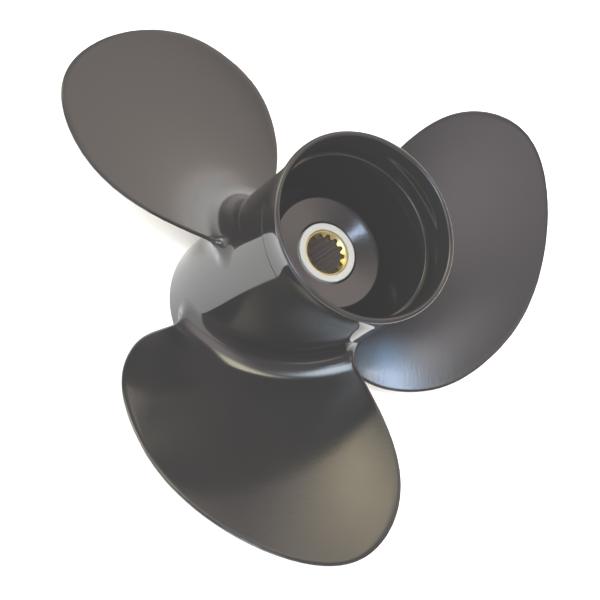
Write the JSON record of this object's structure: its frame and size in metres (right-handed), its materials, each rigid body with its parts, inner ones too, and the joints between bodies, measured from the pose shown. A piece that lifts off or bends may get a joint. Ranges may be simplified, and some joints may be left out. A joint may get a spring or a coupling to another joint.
{
  "type": "outboard boat propeller",
  "caption": "Right-hand outboard propeller with wide raked blades on an exhaust barrel, and a splined brass sleeve in a white nylon sleeve.",
  "frame": {"origin": "on the shaft axis, in the plane of the barrel's forward end, on which the propeller stands", "axes": "+Z along the shaft axis towards the aft end; +X along the middle line of blade 1; +Y completes the right-handed set"},
  "size_m": [0.2573, 0.2699, 0.131],
  "materials": {
    "black_paint": "gloss black paint over cast aluminium",
    "rubber": "matte black",
    "white_nylon": "satin off-white",
    "brass": "machined"
  },
  "bodies": {
    "root": {"propeller_casting": "black_paint", "rubber_bush": "rubber", "nylon_sleeve": "white_nylon", "splined_brass_sleeve": "brass"}
  },
  "joints": []
}
